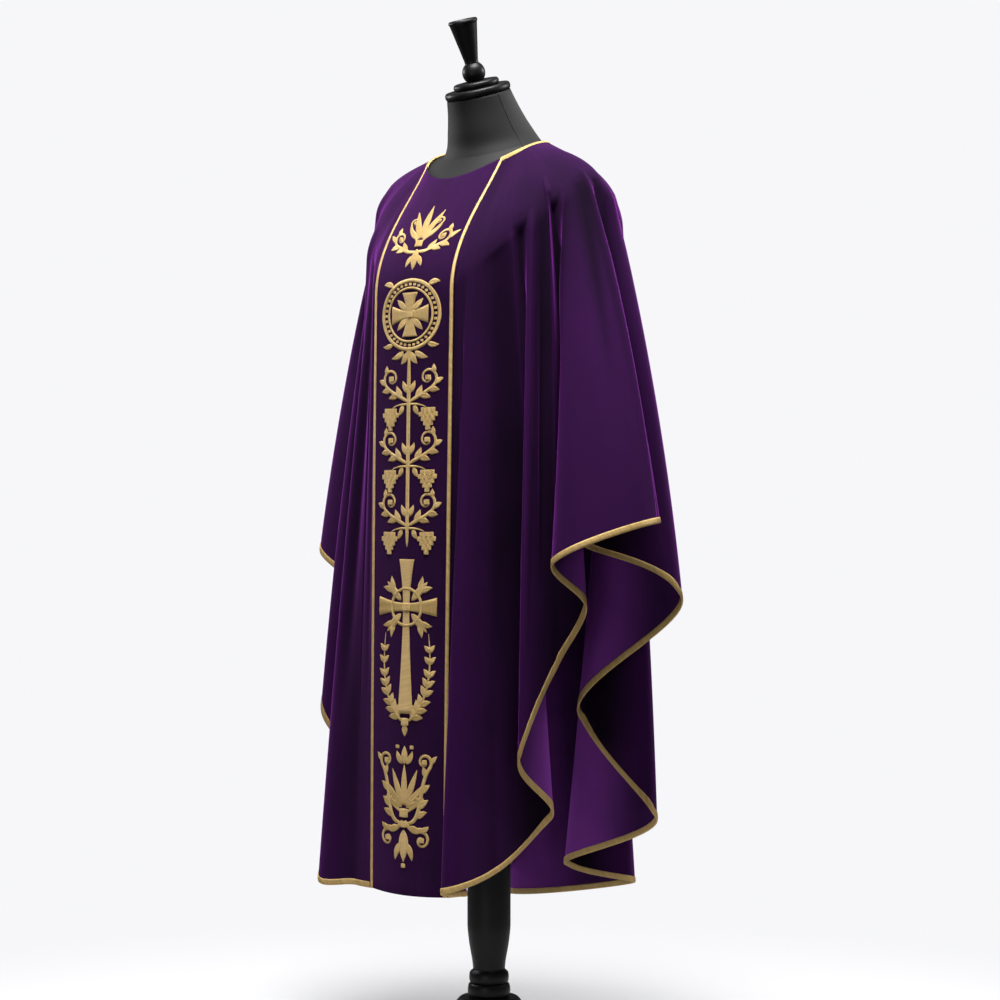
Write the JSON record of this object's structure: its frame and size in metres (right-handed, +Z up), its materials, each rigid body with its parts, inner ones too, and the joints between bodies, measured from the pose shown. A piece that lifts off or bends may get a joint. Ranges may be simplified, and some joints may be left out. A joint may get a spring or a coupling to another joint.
{
  "type": "gothic chasuble on a dress form stand",
  "caption": "Full gothic chasuble in purple velvet with gold trim and an embroidered centre band, worn on a limbless dress form on a turned stand.",
  "frame": {"origin": "centre of the underside of the stand's base, on the floor", "axes": "+Z up, the form faces -Y, and the wearer's left sleeve points to +X"},
  "size_m": [0.7784, 0.4539, 1.7948],
  "materials": {
    "velvet": "purple cotton velvet with a short dense pile",
    "gold_trim": "woven gold thread braid and binding with a soft metallic shine",
    "form_cover": "matte charcoal jersey cover",
    "turned_black": "turned wood with satin black paint"
  },
  "bodies": {
    "root": {"band_front": "velvet", "front_left": "velvet", "back": "velvet", "front_right": "velvet", "braid_left": "gold_trim", "braid_right": "gold_trim", "neck_binding": "gold_trim", "hem_binding_front_left": "gold_trim", "hem_binding_back": "gold_trim", "hem_binding_front_right": "gold_trim", "form_torso": "form_cover", "neck_cap": "turned_black", "finial": "turned_black", "column": "turned_black", "base": "turned_black"}
  },
  "joints": []
}
